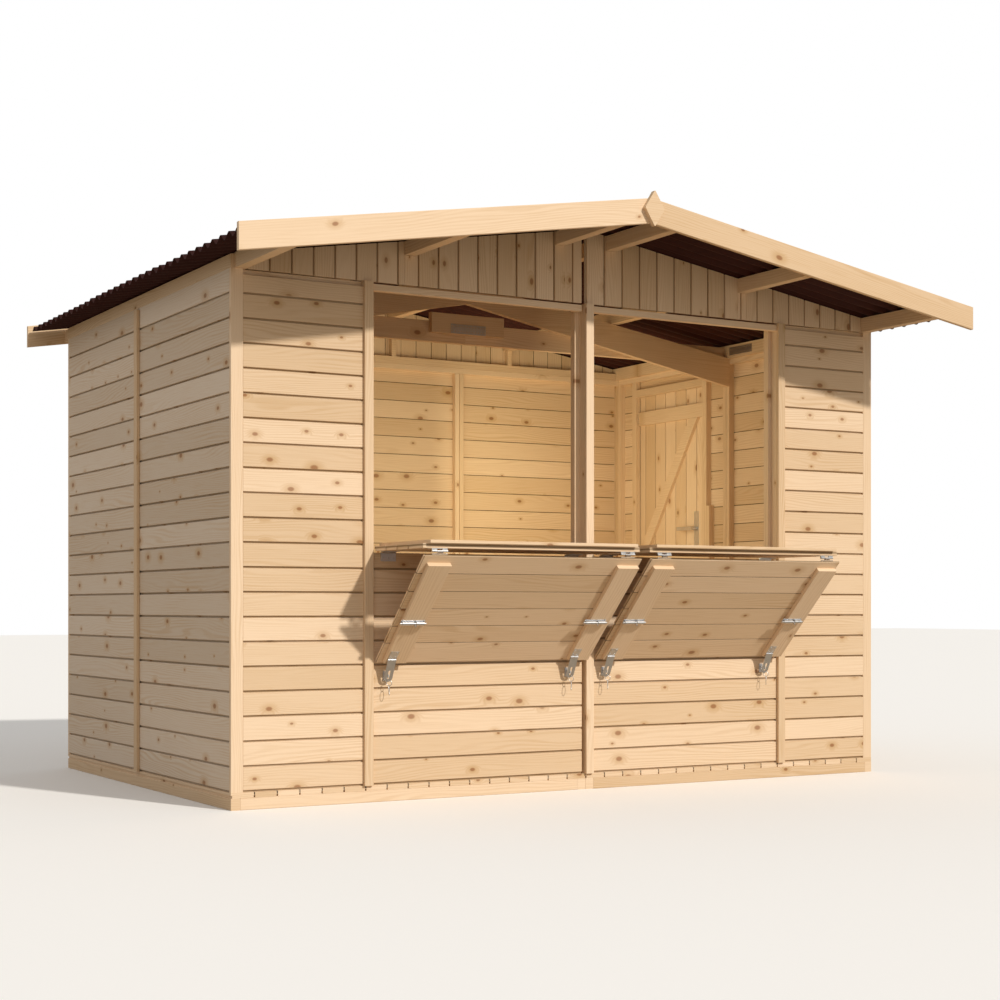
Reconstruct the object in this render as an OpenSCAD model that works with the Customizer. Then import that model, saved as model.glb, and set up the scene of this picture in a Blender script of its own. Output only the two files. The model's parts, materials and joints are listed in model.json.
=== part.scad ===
// Wooden market stall: a board-clad hut with two fold-down counters and a side door.
// Millimetres, +Z up, front towards -Y, origin on the ground at the footprint's centre.

/* [Overall] */
// Width of the footprint
stall_w = 3060; // [2900:10:3700]
// Depth of the footprint
stall_d = 2000; // [1800:10:2400]
// Height of the walls above the floor
wall_h = 1904; // [1880:2:2300]

/* [Floor] */
// Height of the bearers
bearer_h = 44; // [38:1:70]
// Width of one bearer
bearer_w = 38; // [28:1:45]
// Thickness of the floor boards
floor_t = 20; // [16:1:28]

/* [Walls] */
// Thickness of the wall boards
clad_t = 16; // [12:1:20]
// Depth of the studs and rails behind the boards
stud_d = 30; // [24:1:45]
// Width of a stud
stud_w = 24; // [20:1:30]
// Height of the top and bottom rails
rail_h = 28; // [20:1:36]
// Width of the corner trims
corner_w = 48; // [40:1:60]
// Width of the trims over the panel joints
trim_w = 37; // [30:1:44]
// Thickness of the trims over the panel joints
trim_t = 14; // [10:1:18]
// Strip of top rail left bare above the front boards
bare_strip = 20; // [10:1:26]
// Half the distance between the two rear panel joints
rear_joint_x = 500; // [400:10:600]

/* [Hatches] */
// Left edge of the left hatch opening from the centre
hatch_left = 960; // [930:2:1000]
// Width of a hatch opening
hatch_w = 956; // [900:2:960]
// Height of the sill above the ground
sill_z = 944; // [860:2:960]
// Height of the head rail above a hatch
head_h = 26; // [20:1:32]
// Gap between the head rail and the top of the wall
head_drop = 6; // [4:1:10]
// Depth of the head rail
head_d = 28; // [20:1:28]

/* [Counters] */
// Reach of the counter board in front of the wall
counter_reach = 398; // [320:2:410]
// Thickness of the counter board
counter_t = 18; // [15:1:20]
// Thickness of the worktop sheet
worktop_t = 12; // [9:1:14]
// Distance of the worktop from each end of the counter
worktop_inset = 20; // [10:1:40]
// Overhang of the worktop past the counter's front edge
worktop_lip = 20; // [10:1:22]
// Length of the front flap below the counter
flap_l = 560; // [440:5:560]
// Thickness of the front flap
flap_t = 13; // [10:1:13]
// Lean of the flap from upright
flap_lean = 45; // [40:1:46]
// Width of the flap's battens
batten_w = 96; // [70:1:110]
// Thickness of the flap's battens
batten_t = 18; // [14:1:20]

/* [Door] */
// Distance of the doorway's front edge behind the middle of the wall
door_y = 187; // [120:1:210]
// Width of the doorway
door_w = 607; // [560:1:640]
// Height of the doorway above the floor
door_h = 1806; // [1750:2:1830]
// Thickness of the door's ledges
ledge_t = 18; // [14:1:22]
// Width of the door's ledges and braces
ledge_w = 70; // [50:1:90]

/* [Roof] */
// Rise of the roof for each unit of run
roof_slope = 0.1622; // [0.15:0.0001:0.18]
// Height of the roof's underside at the side walls above the top of the wall
eave_rise = 52.834; // [45:0.001:70]
// Thickness of the roof covering, wave included
roof_t = 26; // [20:1:30]
// Overhang of the covering past each side wall
eave_out = 140; // [80:5:200]
// Overhang of the roof in front of the front wall
front_out = 467; // [300:1:520]
// Overhang of the roof behind the rear wall
rear_out = 118; // [80:1:200]
// Width of a purlin
purlin_w = 44; // [36:1:50]
// Height of a purlin
purlin_h = 56; // [45:1:60]
// Distance of the middle purlins from the centre
mid_purlin_x = 800; // [700:5:900]
// Distance of the ridge purlins from the centre
ridge_purlin_x = 122; // [90:1:150]
// Height of the bargeboards
barge_h = 97; // [80:1:120]
// Thickness of the bargeboards
barge_t = 18; // [14:1:22]
// Thickness of the ridge cap
cap_t = 12; // [4:1:14]
// Half the width of the ridge cap
cap_w = 120; // [90:1:160]

/* [Truss] */
// Thickness of the rafters and of the tie
truss_t = 29; // [24:1:36]
// Lower edge of the rafters at the centre, above the top of the wall
rafter_z = 143; // [120:1:160]
// Fall of the rafters' lower edge for each unit of run
rafter_slope = 0.19; // [0.17:0.001:0.2]
// Height of the tie
tie_h = 93; // [80:1:110]
// Height of the tie's lower edge below the top of the wall
tie_drop = 36; // [20:1:50]

/* [Hidden] */

wood = "burlywood";
wood_warm = "wheat";
wood_grey = "rosybrown";
covering = "maroon";
zinc = "silver";

joint_gap = 1;      // between two panels that stand side by side
run_gap = 5;        // between a moving piece and what it passes
seat_gap = 0.3;     // between a fitting and the piece of another body it lies against
post_t = clad_t + stud_d;
half_w = stall_w / 2;
half_d = stall_d / 2;
floor_top = bearer_h + floor_t;
wall_top = floor_top + wall_h;
inner_w = half_w - clad_t;          // inner face of the side boards
inner_d = half_d - clad_t;          // inner face of the front and rear boards
frame_w = inner_w - stud_d;         // inner face of the side framing
frame_d = inner_d - stud_d;         // inner face of the front and rear framing

// Hatches: the left edge of each opening
hatch_pitch = hatch_w + trim_w - joint_gap;     // a hatch and the centre post
hatch_x = [-hatch_left, hatch_pitch - hatch_left];
leaf_w = hatch_w - 2 * (run_gap + 1);
head_z = wall_top - head_drop - head_h;
jamb_w = 23;                        // recessed jamb at the right of each hatch
jamb_back = 39;                     // its front face behind the wall's face
right_jamb = [15, 12];              // how much of the last jamb shows, and how much its post hides
panel_gap = 14;                     // open joint between the left and the right half of the front

// Counter and flap: the two hinge lines, and the flap's upper front edge
hinge_r = 3.5;
pin_r = 1.6;
bore_r = 1.7;
plate_t = 2;
hinge_w = 64;
hinge_at = [[28, 35], [hatch_w - 104, hatch_w - 101]];  // sill hinge, flap hinge along the leaf
sill_axis = [-half_d - 4, sill_z + 2];
counter_z = sill_z + 6;
counter_back = sill_axis[0] - 3;
counter_front = -half_d - counter_reach;
flap_axis = [counter_front - 3, counter_z - 10];
flap_corner = [flap_axis[0] - 14, flap_axis[1] - 17];
worktop_front = counter_front - worktop_lip;
batten_s = [35, flap_l - 15];       // reach of the battens along the flap
batten_x = [20, leaf_w - batten_w - 5];
bolt_l = 100;
bolt_s = 323;
bolt_shift = [-8, -25];
hasp_w = 35;
hasp_s = flap_l - 37;               // the hasp's knuckle along the flap
hasp_x = [46, leaf_w - 82];
hasp_l = 92;
hasp_turn = 20;                     // how far the hasp hangs out of the flap's plane
slot_w = 9;
slot_l = 36;
staple_r = 2;

// Door: vertical hinge line outside the rear jamb
door_back = door_y + door_w;
door_top = floor_top + door_h;
door_axis = [half_w + 6, door_back - 2];
door_foot = floor_top + 8;
strap_z = [floor_top + 180, door_top - 150];
strap_h = 34;

// Roof
function roof_z(x) = wall_top + eave_rise + roof_slope * (half_w - abs(x));
barge_top = roof_t + 9;             // top of the bargeboards above the roof's underside
barge_end = half_w + eave_out + 17;
front_barge_y = -half_d - front_out;
rear_barge_y = half_d + rear_out;
cover_y = [front_barge_y + barge_t, rear_barge_y - barge_t];
eave_purlin_x = half_w - clad_t - purlin_w / 2;
notch_gap = 1;

// A box between two corners given as ranges along X, Y and Z
module box(x, y, z) {
    translate([x[0], y[0], z[0]]) cube([x[1] - x[0], y[1] - y[0], z[1] - z[0]]);
}

// The children and their mirror image on the other side of the middle
module both_sides() {
    children();
    mirror([1, 0, 0]) children();
}

// An outline in X and Z, extruded from y[0] to y[1]
module across(y) {
    translate([0, y[1], 0]) rotate([90, 0, 0]) linear_extrude(y[1] - y[0]) children();
}

// An outline in Y and Z, extruded from x[0] to x[1]
module along(x) {
    translate([x[0], 0, 0]) rotate([90, 0, 90]) linear_extrude(x[1] - x[0]) children();
}

// ---- floor ----
module floor_bearers() color(wood) {
    both_sides() box([half_w - bearer_w, half_w], [-half_d, half_d], [0, bearer_h]);
    box([-bearer_w, bearer_w], [-half_d, half_d], [0, bearer_h]);
}

module floor_joists() color(wood)
    both_sides() for (y = [-half_d, -bearer_w / 2, half_d - bearer_w])
        box([bearer_w, half_w - bearer_w], [y, y + bearer_w], [0, bearer_h]);

module floor_boards() color(wood)
    both_sides() box([joint_gap / 2, half_w], [-half_d, half_d], [bearer_h, floor_top]);

// ---- boards of the walls ----
left_post = [-hatch_left - trim_w - joint_gap, -hatch_left];
centre_post = [hatch_x[1] - trim_w + joint_gap, hatch_x[1]];
right_post = [hatch_x[1] + hatch_w, hatch_x[1] + hatch_w + trim_w + joint_gap];

module front_cladding() color(wood_warm)
    for (x = [[-half_w + corner_w, left_post[0]], [right_post[1], half_w - corner_w]])
        box(x, [-half_d, -inner_d], [floor_top, wall_top - bare_strip]);

module hatch_cladding() color(wood_warm)
    for (x = [[left_post[1], centre_post[0] - panel_gap], [centre_post[1], right_post[0]]])
        box(x, [-half_d, -inner_d], [floor_top, sill_z]);

module left_cladding() color(wood_grey)
    for (y = [[-inner_d, -joint_gap / 2], [joint_gap / 2, inner_d]])
        box([-half_w, -inner_w], y, [floor_top, wall_top]);

module right_cladding() color(wood) {
    for (y = [[-inner_d, -joint_gap / 2], [joint_gap / 2, door_y], [door_back, inner_d]])
        box([inner_w, half_w], y, [floor_top, wall_top]);
    box([inner_w, half_w], [door_y + joint_gap, door_back - joint_gap], [door_top, wall_top]);
}

module rear_cladding() color(wood) {
    for (side = [-1, 1])
        scale([side, 1, 1])
            box([rear_joint_x + joint_gap / 2, half_w - corner_w], [inner_d, half_d],
                [floor_top, wall_top - bare_strip]);
    box([-rear_joint_x + joint_gap / 2, rear_joint_x - joint_gap / 2], [inner_d, half_d],
        [floor_top, wall_top - bare_strip]);
}

// One half of a gable, from x0 to the eave, with a notch for each purlin that passes
module gable_half(x0) {
    x1 = eave_purlin_x - purlin_w / 2 - notch_gap;
    difference() {
        polygon([[x0, wall_top], [x1, wall_top], [x1, roof_z(x1)], [x0, roof_z(x0)]]);
        for (x = [ridge_purlin_x, mid_purlin_x])
            translate([x - purlin_w / 2 - notch_gap, roof_z(x) - purlin_h - notch_gap])
                square([purlin_w + 2 * notch_gap, purlin_h * 2]);
    }
}

module front_gable() color(wood_warm) {
    across([-half_d, -inner_d]) gable_half(joint_gap / 2);
    across([-half_d, -inner_d]) mirror([1, 0]) gable_half(panel_gap + 4);
}

module rear_gable() color(wood)
    both_sides() across([inner_d, half_d]) gable_half(joint_gap / 2);

// ---- framing of the walls ----
stud_z = [floor_top + rail_h, wall_top - rail_h];

module front_studs() color(wood) {
    both_sides() box([inner_w - stud_w, inner_w], [-inner_d, -frame_d], stud_z);
    for (post = [left_post, centre_post, right_post])
        box(post, [-half_d, -half_d + post_t], [floor_top, wall_top]);
    for (i = [0, 1])
        box([hatch_x[i] + hatch_w - (i == 0 ? jamb_w : right_jamb[0]),
             hatch_x[i] + hatch_w + (i == 0 ? 0 : right_jamb[1])],
            [-half_d + jamb_back, -half_d + jamb_back + stud_d], [floor_top, wall_top]);
}

module rear_studs() color(wood)
    both_sides() {
        box([inner_w - stud_w, inner_w], [frame_d, inner_d], stud_z);
        for (x = [rear_joint_x - stud_w - joint_gap, rear_joint_x + joint_gap])
            box([x, x + stud_w], [frame_d, inner_d], stud_z);
    }

// The studs of a side wall, drawn on the right: a pair where the two panels meet
module side_studs() {
    for (y = [-frame_d + joint_gap, -stud_w - joint_gap, joint_gap, frame_d - joint_gap - stud_w])
        box([frame_w, inner_w], [y, y + stud_w], stud_z);
}

module left_studs() color(wood)
    mirror([1, 0, 0]) side_studs();

keep_h = 1186;
stop_w = 12;                // how far the door frame reaches behind the door
stop_x = inner_w - run_gap; // its face, clear of the door
module right_studs() color(wood) {
    side_studs();
    box([frame_w, inner_w], [door_y - stud_w - 1, door_y], stud_z);
    box([frame_w, stop_x], [door_y - 1, door_y + stop_w], stud_z);
    box([frame_w, inner_w], [door_back, door_back + stud_w], stud_z);
    box([frame_w, stop_x], [door_back - stop_w, door_back + 1], stud_z);
    box([frame_w, inner_w], [door_y - 2 * stud_w - 1, door_y - stud_w - 1],
        [stud_z[0], floor_top + keep_h]);
}

module wall_rails() color(wood)
    for (z = [floor_top, wall_top - rail_h]) {
        box([-inner_w, left_post[0]], [-inner_d, -frame_d], [z, z + rail_h]);
        box([right_post[1], inner_w], [-inner_d, -frame_d], [z, z + rail_h]);
        box([-inner_w, inner_w], [frame_d, inner_d], [z, z + rail_h]);
        box([-inner_w, -frame_w], [-frame_d + joint_gap, frame_d - joint_gap], [z, z + rail_h]);
        rear = z == floor_top ? door_y : frame_d - joint_gap;
        box([frame_w, inner_w], [-frame_d + joint_gap, rear], [z, z + rail_h]);
        if (z == floor_top)
            box([frame_w, inner_w], [door_back, frame_d - joint_gap], [z, z + rail_h]);
    }

module hatch_rails() color(wood) {
    bays = [[left_post[1], centre_post[0] - panel_gap], [centre_post[1], right_post[0]]];
    for (bay = bays) {
        box(bay, [-half_d, -half_d + head_d], [head_z, head_z + head_h]);
        box([bay[0], bay[1] - stud_w], [-inner_d, -frame_d], [sill_z - rail_h, sill_z]);
        box([bay[0], bay[1] - stud_w], [-inner_d, -frame_d], [floor_top, floor_top + rail_h]);
    }
}

module door_head() color(wood)
    box([frame_w, stop_x], [door_y + stop_w, door_back - stop_w],
        [door_top - stop_w, door_top + rail_h]);

// ---- trims ----
module corner_trims() color(wood_warm)
    both_sides() for (y = [[-half_d, -inner_d], [inner_d, half_d]])
        box([half_w - corner_w, half_w], y, [floor_top, wall_top]);

module joint_trims() color(wood_warm) {
    for (post = [left_post, centre_post, right_post])
        box([post[0], post[0] + trim_w], [-half_d - trim_t, -half_d], [floor_top, wall_top]);
    both_sides() {
        box([half_w, half_w + trim_t], [0, trim_w], [floor_top, wall_top - bare_strip / 2]);
        box([rear_joint_x - trim_w / 2, rear_joint_x + trim_w / 2],
            [half_d, half_d + trim_t], [floor_top, wall_top - bare_strip]);
    }
}

module eave_strips() color(wood_grey)
    both_sides() box([inner_w, half_w], [-half_d, half_d], [wall_top, roof_z(half_w) - 2]);

// ---- roof structure ----
// A purlin's section: level below, bevelled above to the slope of the roof
module purlin_outline(x, foot) {
    a = x - purlin_w / 2;
    b = x + purlin_w / 2;
    polygon([[a, foot], [b, foot], [b, roof_z(b)], [a, roof_z(a)]]);
}

module purlins() color(wood)
    both_sides() {
        for (x = [ridge_purlin_x, mid_purlin_x])
            across(cover_y) purlin_outline(x, roof_z(x) - purlin_h);
        across(cover_y) purlin_outline(eave_purlin_x, wall_top);
    }

gable_rail_h = 35;
module gable_framing() color(wood)
    both_sides() {
        box([joint_gap / 2, eave_purlin_x - purlin_w / 2 - notch_gap], [frame_d, inner_d],
            [wall_top, wall_top + gable_rail_h]);
        for (x = [ridge_purlin_x, mid_purlin_x])
            box([x - stud_w / 2, x + stud_w / 2], [frame_d, inner_d],
                [wall_top + gable_rail_h, roof_z(x) - purlin_h - notch_gap]);
    }

// Top edge of a rafter: it meets the inner lower edge of each purlin
function rafter_top(x) = roof_z(x) - purlin_h - roof_slope * purlin_w / 2;
module truss_rafters() color(wood)
    both_sides() across([-truss_t, 0]) {
        x1 = eave_purlin_x - purlin_w / 2 - notch_gap;
        polygon([[joint_gap / 2, wall_top + rafter_z],
            [frame_w, wall_top + rafter_z - rafter_slope * frame_w],
            [frame_w, wall_top], [x1, wall_top], [x1, rafter_top(x1)],
            [joint_gap / 2, rafter_top(joint_gap / 2)]]);
    }

module truss_tie() color(wood)
    both_sides()
        box([joint_gap / 2, eave_purlin_x - purlin_w / 2 - notch_gap], [0, truss_t],
            [wall_top - tie_drop, wall_top - tie_drop + tie_h]);

gusset_w = 374;
gusset_h = 90;
module truss_gusset() color(wood)
    box([-gusset_w / 2, gusset_w / 2], [-truss_t, 0], [wall_top + 2, wall_top + 2 + gusset_h]);

// A nail plate drawn flat in X and Y with rows of round holes
module perforated(size, pitch) {
    cols = floor(size[0] / pitch);
    rows = floor(size[1] / pitch);
    difference() {
        square(size);
        for (i = [0 : cols - 1], j = [0 : rows - 1])
            translate([(i + 0.5) * size[0] / cols, (j + 0.5) * size[1] / rows])
                circle(d = 5, $fn = 24);
    }
}

module nail_plates() color(zinc) {
    translate([-90, -truss_t, wall_top + 4]) rotate([90, 0, 0])
        linear_extrude(plate_t) perforated([180, 43], 15);
    both_sides()
        translate([eave_purlin_x - purlin_w / 2, -222, wall_top + 12]) rotate([90, 0, -90])
            mirror([1, 0, 0]) linear_extrude(plate_t) perforated([175, 38], 13);
}

// ---- roof ----
module roof_half() {
    x1 = half_w + eave_out;
    across(cover_y)
        polygon([[joint_gap / 2, roof_z(joint_gap / 2)], [x1, roof_z(x1)],
            [x1, roof_z(x1) + roof_t], [joint_gap / 2, roof_z(joint_gap / 2) + roof_t]]);
}

module roof_left() color(covering) mirror([1, 0, 0]) roof_half();
module roof_right() color(covering) roof_half();

cap_foot = roof_t + seat_gap;     // the cap lies just above the sheets
module ridge_cap() color(covering)
    across(cover_y)
        polygon([[-cap_w, roof_z(cap_w) + cap_foot], [0, roof_z(0) + cap_foot],
            [cap_w, roof_z(cap_w) + cap_foot], [cap_w, roof_z(cap_w) + cap_foot + cap_t],
            [0, roof_z(0) + cap_foot + cap_t], [-cap_w, roof_z(cap_w) + cap_foot + cap_t]]);

// Two bargeboards that meet at the ridge, between y[0] and y[1]
module bargeboards(y) {
    both_sides() across(y)
        polygon([[joint_gap / 2, roof_z(joint_gap / 2) + barge_top - barge_h],
            [barge_end, roof_z(barge_end) + barge_top - barge_h],
            [barge_end, roof_z(barge_end) + barge_top],
            [joint_gap / 2, roof_z(joint_gap / 2) + barge_top]]);
}

module front_bargeboards() color(wood_warm) bargeboards([front_barge_y, front_barge_y + barge_t]);
module rear_bargeboards() color(wood) bargeboards([rear_barge_y - barge_t, rear_barge_y]);

module finial() color(wood_warm)
    across([front_barge_y - 20, front_barge_y])
        translate([0, roof_z(0) - 9])
            polygon([[0, -70], [45, 0], [0, 71], [-45, 0]]);

// ---- hatches ----
// A butt hinge's leaf plate with its knuckles: pieces is a list of ranges along X, and
// the web under each knuckle reaches from the pin to the plate
module knuckles(pieces, axis, bored) {
    for (p = pieces)
        translate([p[0], axis[0], axis[1]]) rotate([90, 0, 90]) difference() {
            cylinder(r = hinge_r, h = p[1] - p[0], $fn = 32);
            if (bored) translate([0, 0, -1]) cylinder(r = bore_r, h = p[1] - p[0] + 2, $fn = 24);
        }
}

third = hinge_w / 3;
outer_knuckles = [[0, third - seat_gap], [2 * third + seat_gap, hinge_w]];
inner_knuckles = [[third, 2 * third]];

module hatch_wall_fittings() color(zinc)
    for (x = hatch_x) {
        for (h = hinge_at) translate([x + run_gap + 1 + h[0], 0, 0]) {
            box([0, hinge_w], [-half_d - plate_t, -half_d], [sill_z - 32, sill_axis[1] - hinge_r - 0.5]);
            knuckles(outer_knuckles, sill_axis, false);
            for (p = outer_knuckles)
                box(p, [sill_axis[0] - 0.5, -half_d], [sill_axis[1] - hinge_r - 0.6, sill_axis[1]]);
            translate([1, sill_axis[0], sill_axis[1]]) rotate([90, 0, 90])
                cylinder(r = pin_r, h = hinge_w - 2, $fn = 24);
        }
        for (h = hasp_x) translate([x + run_gap + 1 + h, 0, 0]) staple();
    }

// A staple that stands out of the wall through the hasp's slot
hasp_lean = 90 - flap_lean - hasp_turn;     // lean of the hanging hasp from upright
function flap_point(s, n) = [
    flap_corner[0] + s * sin(flap_lean) - n * cos(flap_lean),
    flap_corner[1] - s * cos(flap_lean) - n * sin(flap_lean)];
hasp_axis = flap_point(hasp_s, batten_t + plate_t + 1);
slot_mid = hasp_l - slot_l / 2 - 12;
staple_z = hasp_axis[1] - slot_mid * cos(hasp_lean) - 5;
module staple() {
    out = -half_d - 30;
    for (z = [staple_z - 4, staple_z + 4])
        translate([0, -half_d, z]) rotate([90, 0, 0]) cylinder(r = staple_r, h = 30, $fn = 24);
    box([-staple_r, staple_r], [out - staple_r, out + staple_r],
        [staple_z - 4 - staple_r, staple_z + 4 + staple_r]);
    box([-9, 9], [-half_d - plate_t, -half_d], [staple_z - 18, staple_z + 18]);
}

module counter() color(wood)
    box([0, leaf_w], [counter_front, counter_back], [counter_z, counter_z + counter_t]);

module worktop() color(wood_warm)
    box([worktop_inset, leaf_w - worktop_inset], [worktop_front, counter_back],
        [counter_z + counter_t, counter_z + counter_t + worktop_t]);

// Leaf plates under the counter, with the bored middle knuckle of the sill hinge and
// the outer knuckles and pin of the flap hinge
module counter_hinges() color(zinc)
    for (h = hinge_at) {
        translate([h[0], 0, 0]) {
            difference() {
                union() {
                    knuckles(inner_knuckles, sill_axis, false);
                    box(inner_knuckles[0], [sill_axis[0] - hinge_r, sill_axis[0]],
                        [sill_axis[1], counter_z]);
                    box([0, hinge_w], [sill_axis[0] - 34, sill_axis[0] - hinge_r + 0.5],
                        [counter_z - plate_t, counter_z]);
                }
                translate([-1, sill_axis[0], sill_axis[1]]) rotate([90, 0, 90])
                    cylinder(r = bore_r, h = hinge_w + 2, $fn = 24);
            }
        }
        translate([h[1], 0, 0]) {
            knuckles(outer_knuckles, flap_axis, false);
            for (p = outer_knuckles)
                box(p, [flap_axis[0], flap_axis[0] + hinge_r], [flap_axis[1], counter_z]);
            box([0, hinge_w], [flap_axis[0] + 3, flap_axis[0] + 36],
                [counter_z - plate_t, counter_z]);
            translate([1, flap_axis[0], flap_axis[1]]) rotate([90, 0, 90])
                cylinder(r = pin_r, h = hinge_w - 2, $fn = 24);
        }
    }

// Places the children in the flap's plane: Y runs down the flap from its upper edge,
// and Z points from its front face into the board
module on_flap() {
    translate([0, flap_corner[0], flap_corner[1]]) rotate([-(90 - flap_lean), 0, 0]) children();
}

module flap() color(wood)
    on_flap() box([0, leaf_w], [0, flap_l], [0, flap_t]);

module battens() color(wood)
    on_flap() for (x = batten_x) box([x, x + batten_w], batten_s, [-batten_t, 0]);

// A barrel bolt: backing plate, barrel straps and the rod with its knob
module barrel_bolt() {
    box([0, bolt_l], [-11, 11], [-plate_t, 0]);
    for (x = [[4, 50], [62, bolt_l - 4]])
        translate([x[0], 0, -7.5]) rotate([0, 90, 0]) cylinder(r = 7, h = x[1] - x[0], $fn = 32);
    translate([-4, 0, -7.5]) rotate([0, 90, 0]) cylinder(r = 4, h = bolt_l + 8, $fn = 32);
    translate([56, 0, -7.5]) rotate([180, 0, 0]) cylinder(r = 3, h = 16, $fn = 24);
}

// A hasp: leaf screwed to the batten, knuckle, and the slotted leaf that hangs from it
module hasp() {
    box([-hasp_w / 2, hasp_w / 2], [hasp_s - 44, hasp_s], [-batten_t - plate_t, -batten_t]);
    translate([-hasp_w / 2, hasp_s, -batten_t - plate_t - 1]) rotate([0, 90, 0])
        cylinder(r = 3, h = hasp_w, $fn = 32);
    translate([0, hasp_s, -batten_t - plate_t - 1]) rotate([-hasp_turn, 0, 0])
        translate([0, 0, -plate_t / 2]) linear_extrude(plate_t) difference() {
            union() {
                translate([-hasp_w / 2, 0]) square([hasp_w, hasp_l - hasp_w / 2]);
                translate([0, hasp_l - hasp_w / 2]) circle(d = hasp_w, $fn = 48);
            }
            hull() for (d = [-1, 1])
                translate([0, slot_mid + d * (slot_l - slot_w) / 2]) circle(d = slot_w, $fn = 24);
        }
}

module flap_fittings() color(zinc) {
    on_flap() {
        for (i = [0, 1])
            translate([batten_x[i] + (batten_w - bolt_l) / 2 + bolt_shift[i], bolt_s, -batten_t])
                barrel_bolt();
        for (x = hasp_x) translate([x, 0, 0]) hasp();
    }
    for (h = hinge_at) translate([h[1], 0, 0]) difference() {
        union() {
            knuckles(inner_knuckles, flap_axis, false);
            on_flap() {
                box([0, hinge_w], [3, 33], [flap_t, flap_t + plate_t]);
                box(inner_knuckles[0], [-4, 6], [flap_t, flap_t + 7]);
            }
        }
        translate([-1, flap_axis[0], flap_axis[1]]) rotate([90, 0, 90])
            cylinder(r = bore_r, h = hinge_w + 2, $fn = 24);
    }
}

// Places one hatch's moving pieces: i is 0 for the left and 1 for the right
module hatch(i) {
    translate([hatch_x[i] + run_gap + 1, 0, 0]) children();
}

module left_counter() hatch(0) counter();
module left_worktop() hatch(0) worktop();
module left_counter_hinges() hatch(0) counter_hinges();
module left_flap() hatch(0) flap();
module left_battens() hatch(0) battens();
module left_flap_fittings() hatch(0) flap_fittings();
module right_counter() hatch(1) counter();
module right_worktop() hatch(1) worktop();
module right_counter_hinges() hatch(1) counter_hinges();
module right_flap() hatch(1) flap();
module right_battens() hatch(1) battens();
module right_flap_fittings() hatch(1) flap_fittings();

// ---- door ----
leaf_y = [door_y + run_gap, door_back - run_gap];
ledge_y = [door_y + stop_w + run_gap + 1, door_back - stop_w - run_gap - 1];
ledge_z = [door_foot + 110, door_foot + 880, door_foot + 1634];
module door_leaf() color(wood)
    box([inner_w, half_w], leaf_y, [door_foot, door_top - run_gap]);

module door_ledges() color(wood) {
    for (z = ledge_z) box([inner_w - ledge_t, inner_w], ledge_y, [z, z + ledge_w]);
    for (i = [0, 1]) {
        low = ledge_z[i] + ledge_w + joint_gap;
        high = ledge_z[i + 1] - joint_gap;
        along([inner_w - ledge_t, inner_w])
            polygon([[ledge_y[1] - ledge_w, low], [ledge_y[1], low],
                [ledge_y[0] + 50 + ledge_w, high], [ledge_y[0] + 50, high]]);
    }
}

lock_y = 284;
lock_z = [floor_top + 962, floor_top + 1164];
lever_z = floor_top + 1077;
module door_fittings() color(zinc) {
    for (z = strap_z) {
        difference() {
            union() {
                translate([door_axis[0], door_axis[1], z]) cylinder(r = 5, h = strap_h, $fn = 32);
                box([half_w, half_w + 3], [door_axis[1] - 330, door_axis[1]], [z + 5, z + strap_h - 5]);
                box([half_w, door_axis[0]], [door_axis[1] - 5, door_axis[1]], [z + 5, z + strap_h - 5]);
            }
            translate([door_axis[0], door_axis[1], z - 1]) cylinder(r = 3.1, h = strap_h + 2, $fn = 32);
        }
    }
    for (side = [[inner_w - 2, inner_w, -1], [half_w, half_w + 2, 1]]) {
        box([side[0], side[1]], [lock_y - 19, lock_y + 19], lock_z);
        x = side[2] < 0 ? side[0] : side[1];
        translate([x, lock_y, lever_z]) rotate([0, 90 * side[2], 0]) cylinder(r = 8, h = 34, $fn = 32);
        box([min(x + side[2] * 28, x + side[2] * 40), max(x + side[2] * 28, x + side[2] * 40)],
            [lock_y - 9, lock_y + 116], [lever_z - 9, lever_z + 9]);
    }
}

module door_hinge_plates() color(zinc)
    for (z = strap_z) {
        translate([door_axis[0], door_axis[1], z - 12]) cylinder(r = 3, h = strap_h + 24, $fn = 32);
        for (e = [z - 12, z + strap_h + seat_gap]) {
            translate([door_axis[0], door_axis[1], e]) cylinder(r = 5, h = 12 - seat_gap, $fn = 32);
            box([half_w, door_axis[0]], [door_axis[1] + 1, door_axis[1] + 5], [e, e + 12 - seat_gap]);
        }
        box([half_w, half_w + 3], [door_back + 2, door_back + 42], [z - 12, z + strap_h + 12]);
        for (e = [z - 12, z + strap_h + seat_gap])
            box([half_w, half_w + 3], [door_axis[1] + 1, door_back + 3], [e, e + 12 - seat_gap]);
    }

floor_bearers();
floor_joists();
floor_boards();
front_cladding();
hatch_cladding();
left_cladding();
right_cladding();
rear_cladding();
front_gable();
rear_gable();
front_studs();
rear_studs();
left_studs();
right_studs();
wall_rails();
hatch_rails();
door_head();
corner_trims();
joint_trims();
eave_strips();
purlins();
gable_framing();
truss_rafters();
truss_tie();
truss_gusset();
nail_plates();
roof_left();
roof_right();
ridge_cap();
front_bargeboards();
rear_bargeboards();
finial();
hatch_wall_fittings();
left_counter();
left_worktop();
left_counter_hinges();
left_flap();
left_battens();
left_flap_fittings();
right_counter();
right_worktop();
right_counter_hinges();
right_flap();
right_battens();
right_flap_fittings();
door_leaf();
door_ledges();
door_fittings();
door_hinge_plates();
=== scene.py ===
import json
import math

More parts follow.
